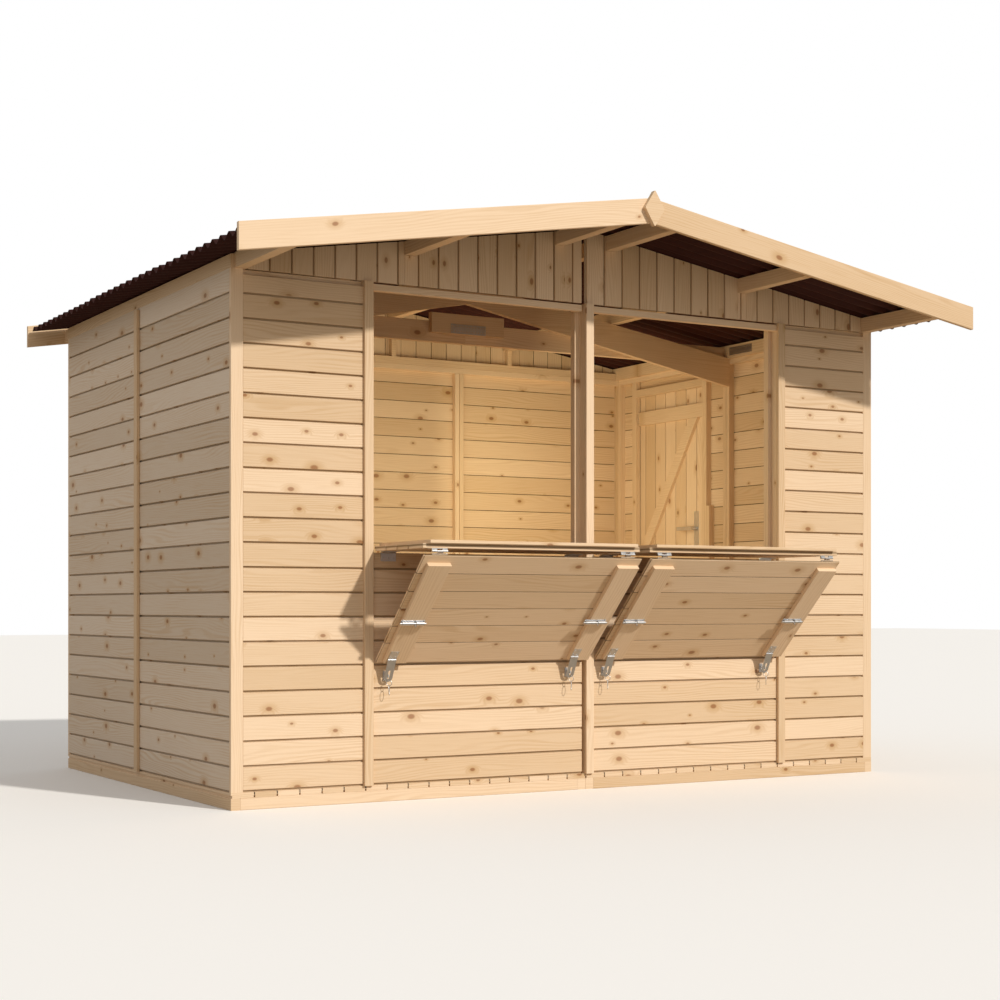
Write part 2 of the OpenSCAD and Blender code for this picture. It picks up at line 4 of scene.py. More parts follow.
import bmesh
import bpy
import numpy as np
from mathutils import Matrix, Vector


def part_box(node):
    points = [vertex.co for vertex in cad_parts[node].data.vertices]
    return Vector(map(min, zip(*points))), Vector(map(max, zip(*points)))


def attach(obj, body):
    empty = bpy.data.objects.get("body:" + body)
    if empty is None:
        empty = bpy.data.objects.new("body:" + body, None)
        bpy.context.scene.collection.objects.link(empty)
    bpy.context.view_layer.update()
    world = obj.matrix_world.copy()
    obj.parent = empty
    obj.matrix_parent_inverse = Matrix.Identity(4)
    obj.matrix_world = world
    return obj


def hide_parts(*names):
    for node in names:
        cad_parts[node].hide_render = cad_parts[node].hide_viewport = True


bl_info = {
    "name": "Market stall",
    "version": (1, 0, 0),
    "blender": (4, 5, 0),
    "location": "View3D > Sidebar > Market stall",
    "description": "Boards, roof sheets, fittings and finishes of a timber market stall",
    "category": "Object",
}

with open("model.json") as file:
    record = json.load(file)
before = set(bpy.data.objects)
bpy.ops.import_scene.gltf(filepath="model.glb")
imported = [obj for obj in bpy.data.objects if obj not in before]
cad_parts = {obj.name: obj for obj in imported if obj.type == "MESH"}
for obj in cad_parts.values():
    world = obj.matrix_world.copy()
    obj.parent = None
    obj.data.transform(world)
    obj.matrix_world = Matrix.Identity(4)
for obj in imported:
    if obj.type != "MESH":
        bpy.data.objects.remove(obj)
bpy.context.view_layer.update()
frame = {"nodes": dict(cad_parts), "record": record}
NODES = frame["nodes"]
BODY_OF = {node: body for body, members in frame["record"]["behaviour"]["bodies"].items()
           for node in members}

X, Y, Z = np.eye(3)
RIGHT_ANGLE = math.pi / 2
EDGE = 0.0015                       # width of the broken edges of a bar
CLEARANCE = 0.001                   # between two surfaces that would touch

# The wall corners and the roof, read from the frame
WALL_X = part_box("corner_trims")[1][0]
WALL_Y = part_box("corner_trims")[1][1]
SHEET_LO, SHEET_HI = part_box("roof_right")
ROOF_T = 0.026                      # height of the roof covering, wave included
ROOF_PEAK = SHEET_HI[2] - ROOF_T    # underside of the covering at the ridge
ROOF_SLOPE = (ROOF_PEAK - SHEET_LO[2]) / (SHEET_HI[0] - SHEET_LO[0])


def roof_z(x):
    """Height of the covering's underside: it falls evenly from the ridge to both sides."""
    return ROOF_PEAK - ROOF_SLOPE * np.abs(x)


# ---------------------------------------------------------------- settings
class StallBoardSettings(bpy.types.PropertyGroup):
    cover: bpy.props.FloatProperty(
        name="Cover width", description="Height of wall that one board covers",
        default=0.0906, min=0.06, max=0.15, unit="LENGTH")
    groove: bpy.props.FloatProperty(
        name="Groove", description="Height of the shadow groove between two boards",
        default=0.0075, min=0.002, max=0.015, unit="LENGTH")
    groove_depth: bpy.props.FloatProperty(
        name="Groove depth", description="Depth of the shadow groove",
        default=0.0085, min=0.002, max=0.009, unit="LENGTH")
    chamfer: bpy.props.FloatProperty(
        name="Chamfer", description="Width of the broken edges of every board",
        default=0.0015, min=0.0003, max=0.004, unit="LENGTH")
    inner_joint: bpy.props.FloatProperty(
        name="Inner joint", description="Width of the joint that two boards show inside",
        default=0.004, min=0.001, max=0.006, unit="LENGTH")
    gable_cover: bpy.props.FloatProperty(
        name="Gable cover width", description="Width that one upright gable board covers",
        default=0.0877, min=0.06, max=0.15, unit="LENGTH")
    floor_cover: bpy.props.FloatProperty(
        name="Floor cover width", description="Width that one floor board covers",
        default=0.09, min=0.06, max=0.15, unit="LENGTH")


class StallPineSettings(bpy.types.PropertyGroup):
    pale: bpy.props.FloatVectorProperty(
        name="Pale wood", description="Early wood of the boards in front", subtype="COLOR",
        default=(0.80, 0.60, 0.405), min=0, max=1)
    grain: bpy.props.FloatVectorProperty(
        name="Grain", description="Late wood lines", subtype="COLOR",
        default=(0.60, 0.385, 0.19), min=0, max=1)
    knot: bpy.props.FloatVectorProperty(
        name="Knots", description="Knots", subtype="COLOR",
        default=(0.35, 0.165, 0.07), min=0, max=1)
    # Painted shade: the left wall, which faces away from the sun, gets this greyer wood.
    painted_shade: bpy.props.FloatVectorProperty(
        name="Pale wood in painted shade", description="Early wood of the left wall, greyed as painted shade",
        subtype="COLOR", default=(0.74, 0.615, 0.49), min=0, max=1)


class StallRoofSettings(bpy.types.PropertyGroup):
    wave: bpy.props.FloatProperty(
        name="Wave pitch", description="Distance from one wave crest to the next",
        default=0.0772, min=0.05, max=0.2, unit="LENGTH")
    sheet: bpy.props.FloatProperty(
        name="Sheet thickness", description="Thickness of the corrugated sheet",
        default=0.003, min=0.001, max=0.006, unit="LENGTH")
    colour: bpy.props.FloatVectorProperty(
        name="Sheet colour", description="Colour of the corrugated sheets", subtype="COLOR",
        default=(0.046, 0.011, 0.009), min=0, max=1)


class StallStageSettings(bpy.types.PropertyGroup):
    floor_colour: bpy.props.FloatVectorProperty(
        name="Floor colour", description="Colour of the plain floor", subtype="COLOR",
        default=(0.95, 0.95, 0.95), min=0, max=1)
    sun_energy: bpy.props.FloatProperty(
        name="Sun", description="Strength of the soft sun", default=2.6, min=0, max=20)
    sky: bpy.props.FloatProperty(
        name="Sky", description="Strength of the even light from all around",
        default=0.55, min=0, max=5)
    inside: bpy.props.FloatProperty(
        name="Inside fill", description="Power of the soft light that falls into the stall",
        default=16, min=0, max=200)


def settings():
    """The four groups of settings on the scene."""
    scene = bpy.context.scene
    return scene.stall_boards, scene.stall_pine, scene.stall_roof, scene.stall_stage


# ---------------------------------------------------------------- mesh work
class Timber:
    """Boards and bars gathered into one mesh: each is an outline carried along a straight line.

    Each board has its own place in the UV map, with U along it in metres, so that no two
    show the same grain, and a tone from 0 to 1 of its own."""

    def __init__(self, seed):
        self.random = np.random.default_rng(seed)
        self.points, self.faces, self.uvs, self.tones, self.groove_shade_weights = [], [], [], [], []
        self.count = 0

    def add(self, outline, start, end, origin, along, across, out, tone=None, offset=None):
        """Carries the outline (across, out) from start to end along a line.

        A point is origin + a * along + p * across + q * out, where a is start at the near
        end and end at the far end, and p and q are the outline's own. start and end may
        differ from point to point, which cuts an end at a slant. A third number for each
        point of the outline says how far it lies in a groove, from 0 to 1; it weights the
        painted shade that the shader puts in grooves and joints."""
        outline = np.asarray(outline, float)
        n = len(outline)
        # The third numbers weight the painted shade in grooves and joints.
        groove = outline[:, 2] if outline.shape[1] > 2 else np.zeros(n)
        self.groove_shade_weights.append(np.tile(groove, 2))
        outline = outline[:, :2]
        ends = np.concatenate([np.broadcast_to(start, n), np.broadcast_to(end, n)])
        both = np.vstack([outline, outline])
        place = np.array([along, across, out], float)
        self.points.append(np.asarray(origin, float) + np.column_stack([ends, both]) @ place)
        ring = np.arange(n)
        following = (ring + 1) % n
        quads = np.column_stack([ring, following, following + n, ring + n]) + self.count
        self.faces += quads.tolist() + [(ring[::-1] + self.count).tolist(),
                                        (ring + n + self.count).tolist()]
        girth = np.concatenate([[0], np.cumsum(np.linalg.norm(
            outline - np.roll(outline, -1, 0), axis=1))])
        if offset is None:
            offset = self.random.uniform(0, 40, 2)
        u = np.column_stack([ends[:n], ends[:n][following], ends[n:][following], ends[n:]])
        v = np.column_stack([girth[:-1], girth[1:], girth[1:], girth[:-1]])
        caps = np.vstack([outline[::-1], outline])
        self.uvs.append(np.vstack([np.column_stack([u.ravel(), v.ravel()]), caps]) + offset)
        tone = self.random.uniform() if tone is None else tone
        self.tones.append(np.full(2 * n, tone))
        self.count += 2 * n

    def piece(self, name, node, material, slot):
        """Makes the mesh, closes it outwards, and lets it stand for the CAD node."""
        mesh = bpy.data.meshes.new(name)
        mesh.from_pydata(np.vstack(self.points), [], self.faces)
        layer = mesh.uv_layers.new(name="UVMap")
        layer.data.foreach_set("uv", np.vstack(self.uvs).astype(np.float32).ravel())
        tones = mesh.attributes.new("tone", "FLOAT", "POINT")
        tones.data.foreach_set("value", np.concatenate(self.tones).astype(np.float32))
        # The groove weights go on the mesh for the painted shade in grooves and joints.
        groove_shade_weights = mesh.attributes.new("groove", "FLOAT", "POINT")
        groove_shade_weights.data.foreach_set("value", np.concatenate(self.groove_shade_weights).astype(np.float32))
        outwards(mesh)
        return dress(mesh, name, node, material)


def outwards(mesh):
    """Turns every face of a closed mesh outwards."""
    work = bmesh.new()
    work.from_mesh(mesh)
    bmesh.ops.recalc_face_normals(work, faces=work.faces)
    work.to_mesh(mesh)
    work.free()


def dress(mesh, name, node, material, smooth=False):
    """Links a mesh as a piece that rides with the node's body; it replaces the node."""
    piece = ride_along(mesh, name, BODY_OF[node], material, smooth)
    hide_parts(node)
    return piece


def ride_along(mesh, name, body, material, smooth=True):
    """Links a mesh as a piece that rides on a body; on its own it replaces nothing."""
    mesh.polygons.foreach_set("use_smooth", np.full(len(mesh.polygons), smooth))
    mesh.materials.append(material)
    piece = bpy.data.objects.new(name, mesh)
    bpy.context.scene.collection.objects.link(piece)
    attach(piece, body)
    return piece


def finish_node(node, material):
    """Gives a CAD node that is kept as it is its finish."""
    NODES[node].data.materials.clear()
    NODES[node].data.materials.append(material)


def solids(node):
    """The lowest and highest corners of each separate solid of a CAD node, as a list.

    Vertices at the same place are joined, and each takes the lowest label among its
    neighbours until no label changes."""
    mesh = NODES[node].data
    points = np.empty(len(mesh.vertices) * 3)
    mesh.vertices.foreach_get("co", points)
    mesh.calc_loop_triangles()
    triangles = np.empty(len(mesh.loop_triangles) * 3, int)
    mesh.loop_triangles.foreach_get("vertices", triangles)
    unique, index = np.unique(np.round(points.reshape(-1, 3), 5), axis=0, return_inverse=True)
    triangles = index.ravel()[triangles].reshape(-1, 3)
    label = np.arange(len(unique))
    while True:
        lowest = label.copy()
        for corner in range(3):
            np.minimum.at(lowest, triangles[:, corner], label[triangles].min(1))
        if (lowest == label).all():
            break
        label = lowest
    return [(unique[label == k].min(0), unique[label == k].max(0)) for k in np.unique(label)]


def bar(width, thickness, cut):
    """Outline of a bar: a rectangle from (0, 0) whose four corners are cut off evenly."""
    w, t, c = width, thickness, cut
    return [(c, 0), (w - c, 0), (w, c), (w, t - c), (w - c, t), (c, t), (0, t - c), (0, c)]


def clad(width, thickness):
    """Outline of a wall board: its foot is set back to leave the shadow groove below it.

    The first number runs up the wall and the second outwards, with the face at 0. The
    inner edges are stepped back, which leaves a narrow joint between two boards inside.
    The third number is high at the bottom of a groove or joint, and it weights the painted shade
    there."""
    boards = settings()[0]
    g, d, c, w, t = boards.groove, boards.groove_depth, boards.chamfer, width, thickness
    s = boards.inner_joint / 2
    step = min(0.005, t - d - CLEARANCE)    # height of the step at the inner edges
    foot = step - t
    # The third numbers weight the painted shade: 1 at the foot of a joint, 0.76 in the groove.
    return np.array([(g + c, 0, 0), (g, -c, 0.2), (g, -d, 0.76), (0, -d, 0.76), (0, foot, 1),
                     (s, foot, 1), (s, -t, 0.4), (w - s, -t, 0.4), (w - s, foot, 1),
                     (w, foot, 1), (w, -c, 0.2), (w - c, 0, 0)])


def courses(low, high, cover, last=0.3):
    """Splits low to high into courses of the cover width; a last strip under `last` of a
    course joins the one below it."""
    edges = np.arange(low, high - last * cover, cover)
    return list(zip(edges, np.append(edges[1:], high)))


def wall_boards(node, seed, material, slot, outward, along):
    """Level boards over each solid of a node, laid from the foot of the wall upwards."""
    timber = Timber(seed)
    cover = settings()[0].cover
    thickness_axis = int(np.argmax(np.abs(outward)))
    length_axis = int(np.argmax(np.abs(along)))
    for low, high in solids(node):
        face = (high if outward[thickness_axis] > 0 else low)[thickness_axis]
        thickness = high[thickness_axis] - low[thickness_axis]
        for z0, z1 in courses(low[2], high[2], cover):
            origin = outward * abs(face) + Z * z0
            timber.add(clad(z1 - z0, thickness), low[length_axis], high[length_axis],
                       origin, along, Z, outward)
    return timber.piece(node + "_boards", node, material, slot)


def bars(node, seed, material, slot):
    """Replaces each box of a CAD node by a bar with broken edges, grain along its length."""
    timber = Timber(seed)
    axes = (X, Y, Z)
    for low, high in solids(node):
        size = high - low
        order = np.argsort(-size)
        timber.add(bar(size[order[1]], size[order[2]], min(EDGE, size.min() / 4)), 0,
                   size[order[0]], low, axes[order[0]], axes[order[1]], axes[order[2]])
    return timber.piece(node + "_bars", node, material, slot)


# ---------------------------------------------------------------- shader groups
def new_group(name, inputs, outputs):
    """A shader node group with the given sockets: each is (name, kind, default)."""
    group = bpy.data.node_groups.new(name, "ShaderNodeTree")
    for label, kind, default in inputs:
        socket = group.interface.new_socket(label, in_out="INPUT", socket_type=kind)
        if default is not None:
            socket.default_value = default
    for label, kind in outputs:
        group.interface.new_socket(label, in_out="OUTPUT", socket_type=kind)
    return group, group.nodes.new("NodeGroupInput"), group.nodes.new("NodeGroupOutput")


class Nodes:
    """Short calls for placing and joining nodes in one tree."""

    def __init__(self, tree):
        self.tree = tree

    def put(self, kind, inputs=None, **settings_of_node):
        node = self.tree.nodes.new(kind)
        for key, value in settings_of_node.items():
            setattr(node, key, value)
        for key, value in (inputs or {}).items():
            if isinstance(value, bpy.types.NodeSocket):
                self.tree.links.new(value, node.inputs[key])
            else:
                node.inputs[key].default_value = value
        return node

    def math(self, operation, a, b=0.0, c=None, clamp=False):
        values = {0: a, 1: b} if c is None else {0: a, 1: b, 2: c}
        return self.put("ShaderNodeMath", values, operation=operation,
                        use_clamp=clamp).outputs[0]

    def mix(self, factor, a, b):
        node = self.put("ShaderNodeMix", {"Factor": factor}, data_type="RGBA")
        for key, value in ((6, a), (7, b)):
            if isinstance(value, bpy.types.NodeSocket):
                self.tree.links.new(value, node.inputs[key])
            else:
                node.inputs[key].default_value = value
        return node.outputs[2]

    def scale(self, vector, factors):
        return self.put("ShaderNodeVectorMath", {0: vector, 1: factors},
                        operation="MULTIPLY").outputs[0]

    def band(self, value, low, high, start=0.0, end=1.0):
        """Start below low, end above high, and a smooth step between."""
        return self.put("ShaderNodeMapRange", {"Value": value, "From Min": low,
                        "From Max": high, "To Min": start, "To Max": end},
                        interpolation_type="SMOOTHSTEP").outputs[0]


def grain_group():
    """Softwood: growth lines that run along the first axis, fine pores, round knots, and painted
    shade in grooves and joints.

    Growth lines are bands across the board, bent by slow noise and pushed aside round a
    knot. A knot is the middle of a cell of a cell pattern, kept in some cells only."""
    group, source, result = new_group("Pine grain", [
        ("Place", "NodeSocketVector", None), ("Tone", "NodeSocketFloat", 0.5),
        ("Pale", "NodeSocketColor", (0.8, 0.6, 0.4, 1)),
        ("Grain", "NodeSocketColor", (0.6, 0.4, 0.2, 1)),
        ("Knot", "NodeSocketColor", (0.2, 0.1, 0.04, 1)),
        # The Groove input weights the painted shade in grooves and joints.
        ("Knot share", "NodeSocketFloat", 0.4), ("Groove", "NodeSocketFloat", 0.0)],
        [("Color", "NodeSocketColor"), ("Roughness", "NodeSocketFloat"),
         ("Height", "NodeSocketFloat")])
    n = Nodes(group)
    line_pitch = 0.011                  # from one growth line to the next
    # Painted shade: the colour that the wood takes deep in a groove or joint.
    groove_painted_shade = (0.19, 0.115, 0.045, 1)
    place = source.outputs["Place"]
    cells = n.put("ShaderNodeTexVoronoi", {"Vector": n.scale(place, (5.5, 9.0, 9.0)),
                  "Scale": 1.0, "Randomness": 0.8}, feature="F1", voronoi_dimensions="2D")
    chosen = n.put("ShaderNodeSeparateColor", {"Color": cells.outputs["Color"]})
    kept = n.math("LESS_THAN", chosen.outputs[0], source.outputs["Knot share"])
    size = n.math("MULTIPLY_ADD", chosen.outputs[1], 0.75, 0.28)
    distance = n.math("DIVIDE", cells.outputs["Distance"], size)
    knot = n.math("MULTIPLY", kept, n.band(distance, 0.055, 0.115, 1.0, 0.0))
    halo = n.math("MULTIPLY", kept, n.band(distance, 0.08, 0.34, 1.0, 0.0))
    slow = n.put("ShaderNodeTexNoise", {"Vector": n.scale(place, (0.9, 7.0, 7.0)),
                 "Scale": 1.0, "Detail": 2.0, "Roughness": 0.5})
    split = n.put("ShaderNodeSeparateXYZ", {"Vector": place})
    across = n.math("ADD", split.outputs[1], split.outputs[2])
    bent = n.math("ADD", across, n.math("MULTIPLY", slow.outputs["Fac"], 0.16))
    bent = n.math("ADD", bent, n.math("MULTIPLY", halo, 0.02))
    lines = n.math("SINE", n.math("MULTIPLY", bent, 2 * math.pi / line_pitch))
    lines = n.band(lines, -0.5, 1.0)
    pores = n.put("ShaderNodeTexNoise", {"Vector": n.scale(place, (5.0, 330.0, 330.0)),
                  "Scale": 1.0, "Detail": 3.0, "Roughness": 0.6}).outputs["Fac"]
    patch = n.put("ShaderNodeTexNoise", {"Vector": n.scale(place, (1.3, 4.0, 4.0)),
                  "Scale": 1.0, "Detail": 3.0}).outputs["Fac"]
    strength = n.band(patch, 0.32, 0.70, 0.05, 0.42)
    streaks = n.math("MULTIPLY", lines, strength)
    streaks = n.math("ADD", streaks, n.band(pores, 0.45, 0.78, 0.0, 0.34), clamp=True)
    colour = n.mix(streaks, source.outputs["Pale"], source.outputs["Grain"])
    colour = n.mix(n.math("MULTIPLY", halo, 0.6), colour, source.outputs["Grain"])
    colour = n.mix(n.math("MULTIPLY", knot, 0.9), colour, source.outputs["Knot"])
    # Painted shade: the wood turns darker where a point lies deep in a groove or joint.
    groove_shade_mask = n.band(source.outputs["Groove"], 0.45, 1.0, 0.0, 0.88)
    colour = n.mix(groove_shade_mask, colour, groove_painted_shade)
    bright = n.math("ADD", n.math("MULTIPLY", source.outputs["Tone"], 0.20), 0.90)
    tinted = n.put("ShaderNodeHueSaturation", {"Color": colour, "Value": bright,
                   "Saturation": n.math("SUBTRACT", 1.10, n.math(
                       "MULTIPLY", source.outputs["Tone"], 0.18))})
    group.links.new(tinted.outputs["Color"], result.inputs["Color"])
    rough = n.math("ADD", 0.58, n.math("MULTIPLY", pores, 0.18))
    group.links.new(rough, result.inputs["Roughness"])
    height = n.math("SUBTRACT", n.math("MULTIPLY", pores, 0.5), n.math("MULTIPLY", streaks, 0.4))
    group.links.new(height, result.inputs["Height"])
    return group


def mottle_group():
    """Uneven tone and a fine pitted relief for sheets and plated steel."""
    group, source, result = new_group("Mottle", [
        ("Place", "NodeSocketVector", None), ("Colour", "NodeSocketColor", (0.5, 0.5, 0.5, 1)),
        ("Grain size", "NodeSocketFloat", 300.0), ("Contrast", "NodeSocketFloat", 0.3),
        ("Roughness", "NodeSocketFloat", 0.5)],
        [("Color", "NodeSocketColor"), ("Roughness", "NodeSocketFloat"),
         ("Height", "NodeSocketFloat")])
    n = Nodes(group)
    place = source.outputs["Place"]
    broad = n.put("ShaderNodeTexNoise", {"Vector": place, "Scale": 6.0,
                  "Detail": 4.0}).outputs["Fac"]
    fine = n.put("ShaderNodeTexNoise", {"Vector": place, "Scale": source.outputs["Grain size"],
                 "Detail": 2.0}).outputs["Fac"]
    both = n.math("MULTIPLY", n.math("ADD", broad, fine), 0.5)
    value = n.math("MULTIPLY_ADD", n.math("SUBTRACT", both, 0.5), source.outputs["Contrast"],
                   1.0)
    shade = n.put("ShaderNodeHueSaturation", {"Color": source.outputs["Colour"],
                  "Value": value})
    group.links.new(shade.outputs["Color"], result.inputs["Color"])
    rough = n.math("ADD", source.outputs["Roughness"], n.math(
        "MULTIPLY", n.math("SUBTRACT", fine, 0.5), 0.25), clamp=True)
    group.links.new(rough, result.inputs["Roughness"])
    group.links.new(fine, result.inputs["Height"])
    return group


def shaded(name, group, group_inputs, place, bump, metallic=0.0):
    """A material whose colour, roughness and relief come from one placed group."""
    material = bpy.data.materials.new(name)
    material.use_nodes = True
    n = Nodes(material.node_tree)
    shader = material.node_tree.nodes["Principled BSDF"]
    placed = n.put("ShaderNodeGroup", node_tree=group)
    material.node_tree.links.new(place(n), placed.inputs["Place"])
    for key, value in group_inputs.items():
        if callable(value):
            material.node_tree.links.new(value(n), placed.inputs[key])
        else:
            placed.inputs[key].default_value = value
    relief = n.put("ShaderNodeBump", {"Height": placed.outputs["Height"], "Strength": 1.0,
                   "Distance": bump})
    links = material.node_tree.links
    links.new(placed.outputs["Color"], shader.inputs["Base Color"])
    links.new(placed.outputs["Roughness"], shader.inputs["Roughness"])
    links.new(relief.outputs["Normal"], shader.inputs["Normal"])
    shader.inputs["Metallic"].default_value = metallic
    return material


def uv_place(n):
    """The board's own UV map: first number along it, second across it."""
    return n.put("ShaderNodeUVMap", uv_map="UVMap").outputs["UV"]


def object_place(n):
    """Object coordinates, in metres."""
    return n.put("ShaderNodeTexCoord").outputs["Object"]


def along_axis(turn):
    """Object coordinates turned so that the first number runs along the timber."""
    def place(n):
        return n.put("ShaderNodeMapping", {"Vector": object_place(n),
                     "Rotation": turn}).outputs["Vector"]
    return place


def tone_attribute(n):
    """The tone that each board carries."""
    return n.put("ShaderNodeAttribute", attribute_name="tone").outputs["Fac"]


def groove_shade_attribute(n):
    """How far a point of a board lies in a groove: the weight of the painted shade there."""
    return n.put("ShaderNodeAttribute", attribute_name="groove").outputs["Fac"]


def slow_tone(n):
    """A tone that drifts over the whole stall, for timber without a tone of its own."""
    return n.put("ShaderNodeTexNoise", {"Vector": object_place(n), "Scale": 2.0}).outputs["Fac"]


def rgba(colour):
    """A colour with full alpha."""
    return (*colour, 1.0)


def make_materials():
    """All finishes of the stall, by name."""
    _, pine, roof, stage = settings()
    grain, mottle = grain_group(), mottle_group()

    def wood(name, pale, tone, place, knots=0.50):
        # Boards with their own tone carry groove weights for painted shade; other timber gets
        # none.
        groove = groove_shade_attribute if tone is tone_attribute else 0.0
        return shaded(name, grain, {"Pale": rgba(pale), "Grain": rgba(pine.grain),
                      "Knot": rgba(pine.knot), "Knot share": knots, "Tone": tone,
                      "Groove": groove}, place, 0.0006)

    found = {
        "front_boards": wood("Pale pine boards", pine.pale, tone_attribute, uv_place),
        # Painted shade: greyer boards for the left wall, away from the sun.
        "painted_shade_boards": wood("Pine boards greyed as painted shade", pine.painted_shade, tone_attribute, uv_place),
        "clear_pine": wood("Clear pine", pine.pale, tone_attribute, uv_place, 0.14),
        "pine_x": wood("Pine along X", pine.pale, slow_tone, along_axis((0, 0, 0)), 0.2),
        "pine_y": wood("Pine along Y", pine.pale, slow_tone,
                       along_axis((0, 0, -RIGHT_ANGLE)), 0.2),
        "pine_z": wood("Pine upright", pine.pale, slow_tone,
                       along_axis((0, RIGHT_ANGLE, 0)), 0.2),
        "sheet": shaded("Corrugated sheet", mottle, {"Colour": rgba(roof.colour),
                        "Grain size": 420.0, "Contrast": 0.9, "Roughness": 0.72},
                        object_place, 0.0006),
        "zinc": shaded("Bright zinc", mottle, {"Colour": (0.66, 0.67, 0.69, 1),
                       "Grain size": 90.0, "Contrast": 0.25, "Roughness": 0.34},
                       object_place, 0.0001, 1.0),
    }
    sheet = found["sheet"].node_tree.nodes["Principled BSDF"]
    sheet.inputs["Specular IOR Level"].default_value = 0.2
    floor = bpy.data.materials.new("Plain floor")
    floor.use_nodes = True
    shader = floor.node_tree.nodes["Principled BSDF"]
    n = Nodes(floor.node_tree)
    seen = n.put("ShaderNodeLightPath").outputs["Is Camera Ray"]
    bounce = (0.38, 0.32, 0.24, 1.0)
    floor.node_tree.links.new(n.mix(seen, bounce, rgba(stage.floor_colour)),
                              shader.inputs["Base Color"])
    shader.inputs["Roughness"].default_value = 0.9
    found["floor"] = floor
    return found


MATERIALS = {}                      # filled by main, once the settings are registered


# ---------------------------------------------------------------- operators
class STALL_OT_walls(bpy.types.Operator):
    """Lays the level boards of the four walls"""
    bl_idname = "stall.walls"
    bl_label = "Wall boards"

    def execute(self, context):
        front, painted_shade = MATERIALS["front_boards"], MATERIALS["painted_shade_boards"]
        wall_boards("front_cladding", 11, front, "planed_pine", -Y, X)
        wall_boards("hatch_cladding", 12, front, "planed_pine", -Y, X)
        # The left wall takes the greyed boards as painted shade.
        wall_boards("left_cladding", 13, painted_shade, "pine", -X, Y)
        wall_boards("right_cladding", 14, front, "pine", X, Y)
        wall_boards("rear_cladding", 15, front, "pine", Y, X)
        return {"FINISHED"}


def gable_boards(node, seed, y_face, outward, purlins):
    """Upright boards whose tops follow the roof's underside, or a purlin that passes.

    Each board runs from the top of the wall to the roof's height at its own edges, and it
    is split where a purlin's side crosses it, so that a shorter strip stays below."""
    boards = settings()[0]
    timber = Timber(seed)
    for low, high in solids(node):
        thickness = high[1] - low[1]
        for x0, x1 in courses(low[0], high[0], boards.gable_cover):
            tone, offset = timber.random.uniform(), timber.random.uniform(0, 40, 2)
            cuts = sorted({x0, x1} | {c for p in purlins for c in p[:2] if x0 < c < x1})
            for a, b in zip(cuts[:-1], cuts[1:]):
                under = [p[2] for p in purlins if p[0] < (a + b) / 2 < p[1]]
                outline = clad(b - a, thickness) if a == x0 else np.array(
                    [(0, 0), (0, -thickness), (b - a, -thickness), (b - a, 0)])
                tops = roof_z(outline[:, 0] + a)
                tops = np.minimum(tops, under[0]) if under else tops
                timber.add(outline, low[2] + CLEARANCE, tops, X * a + Y * y_face, Z, X,
                           outward, tone, offset)
    return timber.piece(node + "_boards", node, MATERIALS["front_boards"], "pine")


class STALL_OT_gables(bpy.types.Operator):
    """Fills both gables with upright boards cut round the purlins"""
    bl_idname = "stall.gables"
    bl_label = "Gable boards"

    def execute(self, context):
        purlins = [(low[0] - CLEARANCE, high[0] + CLEARANCE, low[2] - CLEARANCE)
                   for low, high in solids("purlins")]
        gable_boards("front_gable", 21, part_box("front_gable")[0][1], -Y, purlins)
        gable_boards("rear_gable", 22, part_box("rear_gable")[1][1], Y, purlins)
        return {"FINISHED"}


class STALL_OT_floor_boards(bpy.types.Operator):
    """Lays the floor boards from front to back and the bearers below them"""
    bl_idname = "stall.floor_boards"
    bl_label = "Floor"

    def execute(self, context):
        boards = settings()[0]
        timber = Timber(31)
        lap, joint = 0.005, 0.0012      # of one floor board and the next
        for low, high in solids("floor_boards"):
            t = high[2] - low[2]
            for x0, x1 in courses(low[0], high[0], boards.floor_cover):
                w = x1 - x0 - joint
                outline = [(0, 0), (0, -t / 2), (lap, -t / 2), (lap, -t), (w, -t),
                           (w, -t / 2 - joint), (w + lap, -t / 2 - joint), (w + lap, 0)]
                last = x1 > high[0] - 1e-6
                outline = outline if not last else outline[:5] + [(w, 0)]
                timber.add(outline, low[1], high[1], X * x0 + Z * high[2], Y, X, Z)
        timber.piece("floor_boards_laid", "floor_boards", MATERIALS["front_boards"], "pine")
        timber = Timber(32)
        for low, high in solids("floor_bearers"):
            width = high[0] - low[0]
            halves = 2 if width > 0.05 else 1       # two bearers that meet are one solid
            for k in range(halves):
                w = width / halves
                timber.add(bar(w - CLEARANCE, high[2] - low[2], EDGE), low[1], high[1],
                           X * (low[0] + k * w + CLEARANCE / 2) + Z * low[2], Y, X, Z)
        timber.piece("floor_bearers_bars", "floor_bearers", MATERIALS["clear_pine"], "pine")
        bars("floor_joists", 33, MATERIALS["clear_pine"], "pine")
        return {"FINISHED"}


class STALL_OT_framing(bpy.types.Operator):
    """Breaks the edges of trims, rails and studs and gives all framing its grain"""
    bl_idname = "stall.framing"
    bl_label = "Framing and trims"

    def execute(self, context):
        clear = MATERIALS["clear_pine"]
        boxes = ("corner_trims", "joint_trims", "rear_studs", "left_studs", "wall_rails",
                 "hatch_rails", "door_head", "eave_strips", "truss_tie", "truss_gusset",
                 "left_worktop", "right_worktop")
        for seed, node in enumerate(boxes, 40):
            slot = "planed_pine" if "trims" in node or "worktop" in node else "pine"
            bars(node, seed, clear, slot)
        grains = {"pine_z": ("front_studs", "right_studs"),
                  "pine_x": ("truss_rafters", "gable_framing"), "pine_y": ("purlins",)}
        for material, nodes in grains.items():
            for node in nodes:
                finish_node(node, MATERIALS[material])
        return {"FINISHED"}


